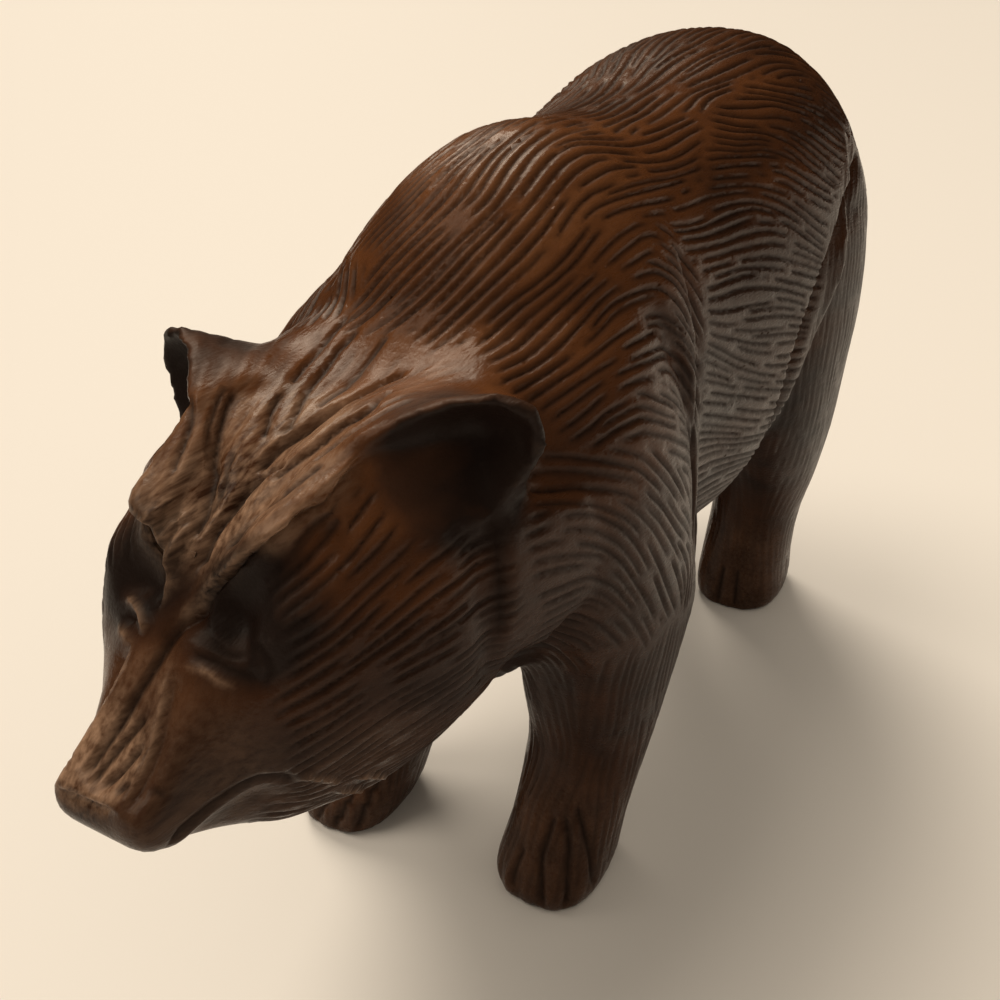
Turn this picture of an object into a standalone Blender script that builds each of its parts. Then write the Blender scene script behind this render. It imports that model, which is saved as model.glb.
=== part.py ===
"""A walking bear carved from one block of wood, head low, standing on the soles of its four feet.

Metres, +Z up. The bear faces -Y and its left side is at +X. The origin is on the ground, under the
middle of its length and width.
"""

import bmesh
import bpy
import numpy as np

# Overall size of the carving.
LENGTH = 0.300  # nose to rump
WIDTH = 0.104  # across the hips
HEIGHT = 0.198  # ground to the top of the rump

# The form below is laid out in parts: so many parts to the width, the length and the height.
PARTS_WIDE = 104
PARTS_LONG = 300
PARTS_HIGH = 198
PART = np.array([WIDTH / PARTS_WIDE, LENGTH / PARTS_LONG, HEIGHT / PARTS_HIGH])

RING_POINTS = 48  # points round each section
RING_STEPS = 5  # rings from one named section to the next
BLOCK_GRAIN = 1.2  # parts, the cell of the mesh that is carved
TRIANGLES = 9000  # triangles left when the flat stretches are thinned out
SOLE_SPARE = 3  # parts of leg below the ground, sawn off flat at the end

# The collections that hold the carving and what is cut out of it.
CARVING = "carved bear"
CUTTERS = "cutters"

# Dark stained wood, as linear light, with a worn satin surface.
WOOD_COLOUR = (0.062, 0.026, 0.015, 1.0)
WOOD_ROUGHNESS = 0.45
WOOD_METALLIC = 0.0

# Torso, from inside the head to the tail: y, top, underside, half width, height of the widest point,
# squareness above and below that point.
TORSO = (
    (-92, 143, 96, 24, 122, 2.0, 2.2),
    (-75, 150, 79, 31, 122, 2.0, 2.2),
    (-62, 157, 71, 35, 122, 2.0, 2.3),
    (-50, 170, 68, 38, 122, 2.0, 2.3),
    (-35, 181, 66, 40, 122, 2.0, 2.4),
    (-15, 186, 67, 41, 124, 2.1, 2.6),
    (5, 185, 67, 40, 124, 2.2, 2.8),
    (25, 184.5, 67, 41, 122, 2.4, 3.0),
    (50, 188, 66, 44, 122, 2.7, 3.0),
    (75, 194.5, 70, 47, 124, 2.6, 2.8),
    (100, 198, 78, 49, 128, 2.3, 2.4),
    (120, 195.5, 88, 50, 132, 2.2, 2.2),
    (138, 181, 98, 48, 134, 2.1, 2.2),
    (147, 165, 112, 37, 136, 2.1, 2.2),
    (150, 148, 128, 12, 138, 2.0, 2.0),
)

# Left foreleg, from the sole up: height, x, y, half width, half length, squareness.
FORELEG = (
    (-SOLE_SPARE, 24, -36, 13.0, 16, 2.6),
    (0, 24, -36, 13.5, 17, 2.6),
    (6, 24.5, -35.5, 14.5, 18.5, 2.6),
    (20, 26, -31, 14.0, 17.5, 2.4),
    (40, 27, -22, 15.5, 19, 2.3),
    (58, 28, -20, 16.5, 25, 2.8),
    (76, 29, -20, 17.5, 31, 2.8),
    (98, 30, -28, 18.0, 37, 2.4),
    (122, 30, -34, 16.5, 39, 2.4),
    (145, 26, -33, 14.0, 33, 2.2),
    (162, 20, -28, 8.0, 18, 2.0),
)

# Below this height the right legs lean: how far out and along the sole of each has moved from the
# mirror image of the left one.
LEAN_HEIGHT = 38
RIGHT_FORELEG_LEAN = (14, -4)
RIGHT_HIND_LEG_LEAN = (0, -10)

# Left hind leg, from the sole up: as the foreleg.
HIND_LEG = (
    (-SOLE_SPARE, 25, 125, 14.5, 19.5, 2.6),
    (0, 25, 125, 15.0, 20, 2.6),
    (6, 25, 125, 16.0, 21, 2.6),
    (18, 25, 126, 15.5, 20, 2.4),
    (34, 26, 127, 15.5, 19, 2.2),
    (52, 29, 124, 16.5, 22, 2.2),
    (72, 32, 118, 17.0, 30, 2.3),
    (95, 33, 112, 18.0, 37, 2.4),
    (120, 34, 112, 18.5, 36, 2.4),
    (145, 33, 114, 17.0, 30, 2.3),
    (165, 26, 114, 12.0, 20, 2.0),
)

# Head, from inside the neck to the nose: y, crown height, then x and height of the brow ridge, of the
# temple, of the cheek and of the jaw, and the height of the throat.
HEAD = (
    (-58, 158, 22, 154, 32, 142, 35, 118, 19, 84, 76),
    (-74, 150, 24, 151, 33, 138, 38, 114, 21, 83, 75),
    (-90, 148, 24, 153, 34, 137, 38, 111, 21, 82, 75),
    (-104, 144, 19, 149, 30, 134, 34, 110, 19, 82, 77),
    (-114, 138, 15, 145, 26, 129, 29, 108, 16, 84, 79.5),
    (-123, 131, 13, 141, 22, 124, 24, 107, 14, 87, 82.5),
    (-129, 124, 7, 125.5, 16.5, 118, 18.5, 104, 11.5, 90, 87),
    (-138, 115, 8.5, 115, 11.5, 107, 12.5, 100, 9.5, 94, 92),
    (-146, 108.5, 9, 108.5, 10.3, 103, 10.3, 100, 8.5, 97, 96),
    (-150, 106, 9, 106, 10.3, 104, 10, 102, 8.5, 100.5, 100.5),
)

# Left ear: balls that its wedge wraps, and balls that the bowl cut into its front wraps. Each is
# the x, y and z of its centre and its radius.
EAR = (
    (39, -84.5, 153.2, 1.6),
    (40.3, -84, 147.5, 1.8),
    (34, -86.5, 154.5, 1.6),
    (28, -90, 154, 1.6),
    (22.5, -95.5, 152.2, 1.6),
    (17, -101, 148.8, 2.0),
    (31, -93, 132.5, 2.2),
    (26, -68, 144, 3.0),
    (27, -76, 131, 4.0),
    (14, -84, 145, 4.0),
)
EAR_BOWL = (
    (24, -114, 143, 4.0),
    (25, -108, 150, 4.0),
    (32, -103, 154, 5.0),
    (43, -94, 150, 5.0),
    (40, -97, 140, 4.0),
    (20.5, -102.5, 148.3, 2.0),
    (24.5, -97.7, 151.4, 2.0),
    (29.5, -92.2, 152.9, 2.0),
    (34.5, -88.6, 153.0, 2.0),
    (38.0, -86.8, 150.3, 2.0),
    (38.4, -87, 146.5, 2.0),
    (31, -88.5, 148, 5.0),
    (35, -91, 139, 3.0),
)

# Left shoulder where it comes forward behind the cheek: balls that it wraps, given in the same way.
SHOULDER_FRONT = (
    (34.5, -86, 134, 2),
    (36, -87, 131, 2),
    (36.6, -88, 125, 2),
    (36.8, -88.5, 119, 2),
    (36.3, -88, 113, 2),
    (34.5, -86.5, 107, 2),
    (40, -66, 128, 2),
    (41.5, -62, 118, 2),
    (40, -64, 108, 2),
    (35, -72, 101, 2),
    (20, -75, 120, 4),
)

# Ledges on the sides, where the wood drops away from a ridge line: how deep the drop is, how far it
# takes to fade out, and the y and z of points along the ridge, with the lower wood on their right as
# the bear's left side is looked at.
HAUNCH = (3.0, 22, ((36, 66), (52, 79), (70, 99), (83, 116), (98, 135), (107, 157), (112, 176)))
SHOULDER = (3.5, 18, ((-24, 160), (-8, 138), (-1, 116), (3, 98), (7, 74)))
NECK = (3.0, 7, ((-86, 146), (-89, 137), (-90, 128), (-90.5, 121), (-90, 114), (-88, 107), (-82, 98)))
MUZZLE = (2.5, 16, ((-160, 93), (-144, 96), (-138, 100), (-131.5, 103.5), (-127, 101), (-122, 92)))


# Cuts made with a V gouge, each with its half width, its depth and points along it. The first ones
# are made as they are, the others on both sides of the head.
SNOUT_CUTS = (
    (1.6, 1.4, ((1, -121, 134), (0.5, -129, 124), (-0.5, -138, 115.5), (-1, -148, 107))),
    (1.3, 1.0, ((1.7, -137, 116), (0.8, -142, 112), (0, -148, 107))),
    (1.3, 0.8, ((4.3, -140, 113), (3, -144, 110), (1.9, -148, 107))),
)
FOREHEAD_CUTS = (
    (1.8, 1.4, ((-15, -93, 151), (-12, -98, 149), (-9, -106, 146), (-6, -112, 142), (-3, -117, 137))),
    (1.6, 1.2, ((-15, -99, 150), (-12, -105, 148), (-9, -112, 144), (-7, -119, 139), (-7, -125, 134))),
    (2.0, 1.8, ((3, -86, 149), (3.5, -93, 148), (2, -102, 146), (0.5, -108, 143), (0, -115, 138))),
    (1.6, 1.2, ((-7, -89, 149), (-5, -96, 148), (-2.5, -104, 145), (-1.5, -112, 141))),
    (1.6, 1.2, ((-17, -104, 149), (-13, -112, 145), (-11.5, -118, 143), (-11, -124, 137))),
    (1.6, 1.2, ((12, -92, 150), (9, -100, 148), (7, -108, 144), (4, -115, 139))),
    (1.8, 1.4, ((19, -98, 151), (16, -106, 148), (12, -114, 143), (7, -121, 137))),
)
EYE_CUTS = ((1.6, 1.8, ((4.5, -131, 123), (8, -132, 123.5), (12, -131, 122.5), (17, -128, 119.5))),)

# Hollows pressed into both sides: half width, depth and centre.
HOLLOWS = (
    (9, 2.0, (10.5, -129, 128)),
    (12, 1.5, (29, -112, 136)),
)

TOE_GAP = 6.5  # parts between the cuts that part the toes
TOE_CUT = (1.8, 1.8)  # half width and depth
TOE_HEIGHT = 12  # how far up the foot they run


def in_parts(points):
    """Points laid out in parts, as metres."""
    return np.asarray(points, float) * PART


def smooth_rows(table, steps):
    """Rows of a table with steps rows from each one to the next, on a smooth curve through them."""
    rows = np.array(table, float)
    before = np.vstack([2 * rows[0] - rows[1], rows[:-1]])
    after = np.vstack([rows[1:], 2 * rows[-1] - rows[-2]])
    slope = (after - before) / 2
    share = np.arange(steps)[:, None] / steps
    made = []
    for row, following, start, end in zip(rows[:-1], rows[1:], slope[:-1], slope[1:]):
        square, cube = share**2, share**3
        made.append(
            (2 * cube - 3 * square + 1) * row
            + (cube - 2 * square + share) * start
            + (3 * square - 2 * cube) * following
            + (cube - square) * end
        )
    return np.vstack([*made, rows[-1:]])


def oval(half_width, above, below, square_above, square_below):
    """Points round a section with its widest line at 0: how far it reaches above and below that."""
    turn = np.linspace(0, 2 * np.pi, RING_POINTS, endpoint=False)
    rises = np.sin(turn) > 0
    power = 2 / np.where(rises, square_above, square_below)
    across = half_width * np.sign(np.cos(turn)) * np.abs(np.cos(turn)) ** power
    up = np.sign(np.sin(turn)) * np.abs(np.sin(turn)) ** power
    return across, up * np.where(rises, above, below)


def loft(name, rings):
    """A closed solid through rings of points, in parts."""
    mesh = bmesh.new()
    loops = [[mesh.verts.new(in_parts(point)) for point in ring] for ring in rings]
    for lower, upper in zip(loops[:-1], loops[1:]):
        for here in range(len(lower)):
            there = (here + 1) % len(lower)
            mesh.faces.new((lower[here], lower[there], upper[there], upper[here]))
    mesh.faces.new(loops[0])
    mesh.faces.new(loops[-1])
    bmesh.ops.recalc_face_normals(mesh, faces=mesh.faces)
    return mesh_object(name, mesh, CARVING)


def mesh_object(name, mesh, group):
    """An object that holds the mesh, in the named collection."""
    data = bpy.data.meshes.new(name)
    mesh.to_mesh(data)
    mesh.free()
    made = bpy.data.objects.new(name, data)
    collection(group).objects.link(made)
    return made


def collection(name):
    """The collection of that name in the scene, made when it is first asked for."""
    found = bpy.data.collections.get(name)
    if found is None:
        found = bpy.data.collections.new(name)
        bpy.context.scene.collection.children.link(found)
    return found


def torso():
    """The body from the neck to the rump."""
    rings = []
    for row in smooth_rows(TORSO, RING_STEPS):
        y, top, underside, half_width, widest, square_above, square_below = row
        across, up = oval(
            half_width, top - widest, widest - underside, square_above, square_below
        )
        rings.append(np.stack([across, np.full_like(across, y), widest + up], axis=1))
    return loft("torso", rings)


def lean_at(height):
    """The share of a leg's lean at a height."""
    return max(0, 1 - height / LEAN_HEIGHT)


def leg(name, table, side, lean):
    """A leg, side 1 on the left and -1 on the right, its sole moved out and along by the lean."""
    rings = []
    for height, x, y, half_width, half_length, squareness in smooth_rows(table, RING_STEPS):
        shift = lean_at(height)
        across, along = oval(half_width, half_length, half_length, squareness, squareness)
        across += side * (x + shift * lean[0])
        along += y + shift * lean[1]
        rings.append(np.stack([across, along, np.full_like(across, height)], axis=1))
    return loft(name, rings)


def closed_curve(corners, steps):
    """Points on a smooth closed curve through the corners."""
    around = np.vstack([corners[-1:], corners, corners[:2]])
    return smooth_rows(around, steps)[steps : steps * (len(corners) + 1)]


def head():
    """The head, its flat crown between two brow ridges that run back to the ears."""
    rings = []
    for row in smooth_rows(HEAD, RING_STEPS):
        y, crown, *sides, throat = row
        left = list(zip(sides[::2], sides[1::2]))
        right = [(-x, height) for x, height in reversed(left)]
        corners = np.array([(0, crown), *left, (0, throat), *right])
        ring = closed_curve(corners, RING_POINTS // len(corners))
        rings.append(np.stack([ring[:, 0], np.full(len(ring), y), ring[:, 1]], axis=1))
    return loft("head", rings)


def wrapped(name, balls, side, group):
    """The tightest solid without hollows round balls, side 1 on the left and -1 on the right."""
    turn = np.linspace(0, 2 * np.pi, 24, endpoint=False)
    lift = np.linspace(-np.pi / 2, np.pi / 2, 13)
    around, up = (grid.ravel() for grid in np.meshgrid(turn, lift))
    ball = np.stack([np.cos(up) * np.cos(around), np.cos(up) * np.sin(around), np.sin(up)], axis=1)
    mesh = bmesh.new()
    for x, y, z, radius in balls:
        for point in ball * radius + (side * x, y, z):
            mesh.verts.new(in_parts(point))
    hull = bmesh.ops.convex_hull(mesh, input=mesh.verts)
    inside = {item for item in hull["geom_interior"] + hull["geom_unused"]}
    bmesh.ops.delete(mesh, geom=list(inside), context="VERTS")
    bmesh.ops.recalc_face_normals(mesh, faces=mesh.faces)
    return mesh_object(name, mesh, group)


def join(objects):
    """One object that holds the meshes of all of them."""
    first = objects[0]
    with bpy.context.temp_override(active_object=first, selected_editable_objects=objects):
        bpy.ops.object.join()
    return first


def apply_modifiers(made):
    """Replaces the object's mesh by what its modifiers make of it."""
    graph = bpy.context.evaluated_depsgraph_get()
    data = bpy.data.meshes.new_from_object(made.evaluated_get(graph))
    made.modifiers.clear()
    made.data = data


def off_line(line, points):
    """How far each point is to the right of a line on a plane, how far from it, and how far along."""
    corners = np.array(line, float)
    start, step = corners[:-1], np.diff(corners, axis=0)
    reach = points[:, None] - start
    share = np.clip((reach * step).sum(2) / (step * step).sum(1), 0, 1)
    gap = reach - share[..., None] * step
    apart = np.linalg.norm(gap, axis=2)
    row, piece = np.arange(len(points)), apart.argmin(1)
    gap, step = gap[row, piece], step[piece]
    turn = gap[:, 0] * step[:, 1] - gap[:, 1] * step[:, 0]
    return np.sign(turn), apart[row, piece], (piece + share[row, piece]) / len(start)


def gouge(points, normals, half_width, depth, path):
    """Sinks a V cut along the path into the wood, fading out at both ends."""
    corners = np.array(path, float)
    near = np.linalg.norm(points[:, None] - corners, axis=2).min(1)
    chosen = np.flatnonzero(near < np.linalg.norm(np.diff(corners, axis=0), axis=1).max() + half_width)
    start, step = corners[:-1], np.diff(corners, axis=0)
    reach = points[chosen, None] - start
    share = np.clip((reach * step).sum(2) / (step * step).sum(1), 0, 1)
    apart = np.linalg.norm(reach - share[..., None] * step, axis=2)
    piece = apart.argmin(1)
    row = np.arange(len(chosen))
    along = (piece + share[row, piece]) / len(start)
    ends = np.clip(6 * np.minimum(along, 1 - along) + 0.3, 0, 1)
    sunk = depth * ends * np.clip(1 - apart[row, piece] / half_width, 0, 1)
    points[chosen] -= normals[chosen] * sunk[:, None]


def hollow(points, half_width, depth, centre):
    """Presses a smooth hollow into both sides of the wood."""
    for side in (1, -1):
        apart = np.linalg.norm(points - np.array(centre) * (side, 1, 1), axis=1) / half_width
        chosen = np.flatnonzero(apart < 1)
        inward = np.array((-side * 0.7, 0.7, 0))
        points[chosen] += inward * depth * ((1 - apart[chosen] ** 2) ** 2)[:, None]


def both_sides(cuts):
    """The cuts and their mirror images."""
    return [
        (half_width, depth, [(side * x, y, z) for x, y, z in path])
        for half_width, depth, path in cuts
        for side in (1, -1)
    ]


def toe_cuts():
    """The cuts that part the toes, up the front of each foot."""
    cuts = []
    for table, side, lean in (
        (FORELEG, 1, (0, 0)),
        (FORELEG, -1, RIGHT_FORELEG_LEAN),
        (HIND_LEG, 1, (0, 0)),
        (HIND_LEG, -1, RIGHT_HIND_LEG_LEAN),
    ):
        _, x, y, half_width, half_length, squareness = table[2]
        for toe in (-1.5, -0.5, 0.5, 1.5):
            across = toe * TOE_GAP
            forward = half_length * (1 - abs(across / half_width) ** squareness) ** (1 / squareness)
            path = []
            for height in (1, TOE_HEIGHT / 2, TOE_HEIGHT):
                shift = lean_at(height)
                path.append((side * (x + shift * lean[0]) + across, y + shift * lean[1] - forward, height))
            cuts.append((*TOE_CUT, path))
    return cuts


def carve(bear):
    """Cuts the ledges into the sides, then the gouge cuts."""
    mesh = bear.data
    points = np.array([vertex.co for vertex in mesh.vertices]) / PART
    normals = np.array([vertex.normal for vertex in mesh.vertices])
    sideways = np.clip(np.abs(normals[:, 0]) * 1.6 - 0.3, 0, 1)
    for depth, fade, line in (HAUNCH, SHOULDER, NECK, MUZZLE):
        right, apart, along = off_line(line, points[:, 1:])
        ends = np.clip(5 * np.minimum(along, 1 - along), 0, 1)
        drop = np.where(right > 0, np.clip(apart / 2.5, 0, 1) * np.exp(-((apart / fade) ** 2)), 0)
        points[:, 0] -= np.sign(points[:, 0]) * depth * drop * ends * sideways
    for dent in HOLLOWS:
        hollow(points, *dent)
    for cut in (*SNOUT_CUTS, *FOREHEAD_CUTS, *both_sides(EYE_CUTS), *toe_cuts()):
        gouge(points, normals, *cut)
    for vertex, point in zip(mesh.vertices, points):
        vertex.co = in_parts(point)


def wood():
    """The stained wood."""
    made = bpy.data.materials.new("stained wood")
    made.use_nodes = True
    shader = made.node_tree.nodes["Principled BSDF"]
    shader.inputs["Base Color"].default_value = WOOD_COLOUR
    shader.inputs["Roughness"].default_value = WOOD_ROUGHNESS
    shader.inputs["Metallic"].default_value = WOOD_METALLIC
    return made


def add_remesh(made, name):
    """A modifier that gives the object one even skin."""
    remesh = made.modifiers.new(name, "REMESH")
    remesh.mode = "VOXEL"
    remesh.voxel_size = BLOCK_GRAIN * PART[1]


def add_soften(made, name, passes):
    """A modifier that rounds the object's edges a little with every pass."""
    soften = made.modifiers.new(name, "SMOOTH")
    soften.factor = 0.5
    soften.iterations = passes


def saw_soles(bear):
    """Cuts the legs off flat at the ground."""
    mesh = bmesh.new()
    mesh.from_mesh(bear.data)
    cut = bmesh.ops.bisect_plane(
        mesh,
        geom=mesh.verts[:] + mesh.edges[:] + mesh.faces[:],
        plane_co=(0, 0, 0),
        plane_no=(0, 0, 1),
        clear_inner=True,
    )
    rims = [item for item in cut["geom_cut"] if isinstance(item, bmesh.types.BMEdge)]
    bmesh.ops.holes_fill(mesh, edges=rims)
    bmesh.ops.recalc_face_normals(mesh, faces=mesh.faces)
    mesh.to_mesh(bear.data)
    mesh.free()


def shade_smooth(bear):
    """Shades the round wood smooth and leaves the soles flat."""
    for face in bear.data.polygons:
        face.use_smooth = face.normal.z > -0.999


def main():
    for old in list(bpy.data.objects):
        bpy.data.objects.remove(old)
    pieces = [torso(), head()]
    cutters = []
    straight = (0, 0)
    for side, word, fore_lean, hind_lean in (
        (1, "left", straight, straight),
        (-1, "right", RIGHT_FORELEG_LEAN, RIGHT_HIND_LEG_LEAN),
    ):
        pieces.append(leg(word + " foreleg", FORELEG, side, fore_lean))
        pieces.append(leg(word + " hind leg", HIND_LEG, side, hind_lean))
        pieces.append(wrapped(word + " shoulder front", SHOULDER_FRONT, side, CARVING))
        pieces.append(wrapped(word + " ear", EAR, side, CARVING))
        cutters.append(wrapped(word + " ear bowl", EAR_BOWL, side, CUTTERS))
    bear = join(pieces)
    bear.name = "bear"
    bear.data.materials.append(wood())
    add_remesh(bear, "one skin")
    add_soften(bear, "blend", 6)
    for cutter in cutters:
        cut = bear.modifiers.new(cutter.name, "BOOLEAN")
        cut.operation = "DIFFERENCE"
        cut.solver = "EXACT"
        cut.object = cutter
    add_remesh(bear, "even skin")
    add_soften(bear, "worn edges", 2)
    apply_modifiers(bear)
    for cutter in cutters:
        bpy.data.objects.remove(cutter)
    carve(bear)
    thin = bear.modifiers.new("thin", "DECIMATE")
    thin.ratio = TRIANGLES / sum(len(face.vertices) - 2 for face in bear.data.polygons)
    apply_modifiers(bear)
    saw_soles(bear)
    shade_smooth(bear)


main()
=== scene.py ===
"""Looks of the carved wooden bear: gouged fur, face, dark wood, pale floor, soft light and camera.

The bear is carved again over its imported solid. Lengths inside the carving are in millimetres.
"""

import random
from math import cos, pi, radians, sin

import bmesh
import bpy
import numpy as np
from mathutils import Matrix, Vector
from mathutils.bvhtree import BVHTree
from mathutils.kdtree import KDTree


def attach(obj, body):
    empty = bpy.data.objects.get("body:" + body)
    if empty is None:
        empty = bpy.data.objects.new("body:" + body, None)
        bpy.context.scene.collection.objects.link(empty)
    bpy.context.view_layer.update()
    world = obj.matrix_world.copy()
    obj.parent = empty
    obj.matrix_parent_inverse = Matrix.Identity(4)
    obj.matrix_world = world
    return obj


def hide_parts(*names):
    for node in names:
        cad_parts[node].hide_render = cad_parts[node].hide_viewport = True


MM = 0.001
TINY = 1e-9  # keeps a division by nothing from failing

# The skin that is carved.
SKIN = 1.0  # cell of the even skin over the solid
SKIN_PASSES = 25  # smoothing passes that take the flats of the solid out
EDGE_PASSES = 4  # smoothing passes after the ears are cut, which leave their edges
SHRINK, SWELL = 0.5, -0.53  # the two steps of a smoothing pass, which together keep a form its size
LEVEL = -0.1  # the second step where the wood is levelled instead
BALL_ROUND, BALL_UP = 24, 13  # points round a ball and from its bottom to its top
TRIANGLES = 196000  # left when the flat stretches are thinned out

# The direction of the fur.
GUIDE_STEP = 9.0  # longest piece of a guide line
GUIDE_EVEN = 16  # square of the distance within which guide lines count about alike
BATCH = 4000  # points worked on at once
WAVES = (  # how strong a wave is, how fast it turns along x, y and z, and where it starts
    (0.07, (0.11, 0.08, 0.09), 0),
    (0.05, (-0.21, 0.17, 0.25), 2),
)

# The strokes of the gouge in the fur. Shares are of the distance between strokes, the longest or shortest
# length, or the depth.
SEED = 7
START_EVERY = 5  # one face in so many is tried for a first stroke
STRIDE = 1.0  # from one point of a stroke to the next
ROOM = 0.85  # share of the distance that has to be free where a stroke starts
CROWDING = 0.55  # share of the distance at which a stroke stops beside another
LENGTHS = (0.5, 1)  # least and most share of the longest length
AHEAD = (0.3, 0.7)  # least and most share of a stroke that lies ahead of its start
STUB = 0.6  # share of the shortest length under which a stroke is left out
DEPTHS = (0.8, 1.1)  # least and most share of the depth
TAPER = 4.0  # length over which a stroke runs out
LOWEST = 0.5  # height of the lowest strokes over the floor
BARE = 0.9  # how smooth the wood is where no stroke is laid
HOLLOW = 1.8  # cross section of a stroke: 1 is a V, and more is narrower at the bottom
SINK = 1.15  # depth that is cut for each millimetre of a stroke's depth
RAISED = 0.22  # share of the depth by which the wood between strokes is left proud
SHADED_DEPTH = 0.6  # depth from which a stroke holds the most painted shade

# The lines worked into the wood.
LINE_STEP = 0.6  # from one point of a carved line to the next
LINE_END = 4.0  # longest stretch over which a line starts and ends
LINE_RISE = 1.5  # that stretch for each millimetre of the line's width
LINE_START = 0.15  # share of its depth that a line starts with
LEDGE_EDGE = 0.9  # width of a ledge's wall
LEDGE_FALL = 1.5  # how the low side of a ledge rises again: 1 is straight
CREST = 2.0  # width of the strip along the high side of a ledge that gets wear and a painted highlight
RAISED_WEAR_AND_SHEEN = 0.8  # how much wear and painted sheen a raised line gets

# The wear and painted sheen of the wood that stands between the strokes.
RUB_AND_SHEEN = 0.28  # how much wear and painted sheen it gets at the most
RUB_HEIGHT = 0.25  # how far it stands out there
RUB_PASSES = 12  # smoothing passes that level the wood, to find what stands out

# Where shade is painted, where the stain is warmer, and where wear and painted sheen are laid: x, y and z
# of the middle, how far it reaches, over what it ends, how much, and whether the other side has it too.
# Painted shade in the ear bowls and eye sockets, under the jaw and the chest, and on the outer thigh.
SHADE_SPOTS = (
    ((34, 118, 90), 25, 45, 0.2, True),
    ((31, -90, 145), 12, 6, 1.0, True),
    ((12, -125, 130), 7, 8, 0.95, True),
    ((6, -136, 100), 12, 12, 0.2, False),
    ((0, -70, 75), 20, 25, 0.4, False),
)
WARM_SPOTS = (
    ((10, -40, 172), 22, 45, 1.1, False),
    ((20, -5, 172), 15, 30, 0.8, False),
    ((38, -45, 140), 10, 30, 0.4, True),
    ((24, -108, 136), 8, 14, 0.6, True),
    ((12, -98, 150), 6, 14, 0.9, True),
    ((22, -94, 155), 8, 12, 1.0, True),
    ((5, -66, 153), 17, 20, 1.0, False),
    ((-2, -60, 158), 12, 22, 0.9, False),
    ((30, 55, 180), 15, 30, 0.6, True),
    ((30, -45, 5), 20, 50, 0.3, True),
    ((28, 110, 10), 30, 50, 0.4, True),
)
# Wear, and painted sheen and highlights, on the forehead, the snout, the jaw and the feet.
WEAR_AND_SHEEN_SPOTS = (
    ((-3.5, -113, 139.5), 3, 6, 1.1, False),
    ((8, -140, 104), 12, 12, 0.33, True),
    ((20, -115, 95), 10, 14, 0.3, True),
    ((28, -45, 8), 18, 25, 0.3, True),
    ((26, 105, 8), 18, 25, 0.35, True),
    ((-3, -112, 141), 7, 13, 1.0, False),
    ((-1, -100, 146), 9, 16, 0.9, False),
    ((10, -108, 146), 5, 8, 0.8, False),
    ((-3, -145, 110), 6, 6, 0.95, False),
    ((-1, -134, 118), 3, 6, 0.5, False),
    ((13, -118, 143), 3, 5, 0.8, True),
)

# The finish. The stain is given from the darkest to the palest tone.
STAIN = (
    (0, (0.013, 0.0072, 0.0055)),
    (0.35, (0.044, 0.0180, 0.0090)),
    (0.7, (0.100, 0.036, 0.0125)),
    (1, (0.200, 0.080, 0.030)),
)
# Pale colour of wear, also used as painted sheen and highlights.
WEAR_AND_SHEEN_COLOUR = (0.33, 0.205, 0.135, 1)
# Painted shade at the bottom of grooves and cut lines.
GROOVE_SHADE = (0.010, 0.0048, 0.0030, 1)

# Patterns in the wood, each by how large it is across, along and up the bear, in metres.
GRAIN = (0.007, 0.06, 0.007)
FIGURE = (0.012, 0.09, 0.012)
PORES = (0.0006, 0.006, 0.0006)
STREAKS = (0.0010, 0.020, 0.0010)
SPECKS = 900.0  # specks of the fine roughness in a metre

# The tone of the stain, from 0 to 1: of plain wood, and how far each cause moves it.
TONE = 0.18
WARM_TONE, TOP_TONE = 0.3, 0.33  # up, in warm spots, and as painted light where the wood faces up
SHADE_TONE = 0.55  # down, in the spots of painted shade
TOP_LOSS = 0.5  # share of the painted shade of a spot that is lost where the wood faces up
GRAIN_TONE, FIGURE_TONE = 0.3, 0.5
GROOVE_SHARE = 0.85  # how much of the painted groove shade is at a groove's bottom

# How much of the pale colour of wear and painted sheen shows where it is laid, and how far the patterns
# move that.
WEAR_SHEEN_SHARE, WEAR_SHEEN_STREAKS, WEAR_SHEEN_FIGURE = 0.6, 2.2, 1.5
WEAR_SHEEN_LOSS = 0.9  # share of it that is lost at the bottom of a groove

# The gloss: of plain wood, and how far grooves, spots of painted shade and pores roughen it and wear
# smooths it.
GLOSS = 0.10
ROUGHNESS = 0.28
GROOVE_ROUGH, DARK_ROUGH, PORES_ROUGH, WORN_SMOOTH = 0.33, 0.2, 0.25, 0.05
BUMP, BUMP_HEIGHT = 0.35, 0.0004  # strength, and height in metres

# The room, in metres and degrees.
FLOOR = 12.0  # half the width of the floor
FLOOR_COLOUR = (0.80, 0.78, 0.77, 1)
WARM_LIGHT = (1.0, 0.87, 0.69)
CAMERA = (0.1096, -0.221, 0.219)
CAMERA_TURN, CAMERA_DOWN = 29.1, 28.0
FILM, LENS = 36, 37.44  # in millimetres
NEAREST, FARTHEST = 0.01, 20  # what the camera sees
LIGHTS = (  # name, where it comes from, its spread and its strength
    ("window", (-0.5, 0.5, 0.75), 30, 1.8),
    ("ceiling", (-0.43, -0.25, 0.86), 35, 1.0),
)
SIDE_LIGHT, TOP_LIGHT = 0.08, 0.62  # light from all round, and how much more comes from above

# Sockets of a Mix node that blends colours.
MIX_FIRST, MIX_SECOND, MIX_COLOUR = 6, 7, 2

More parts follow.
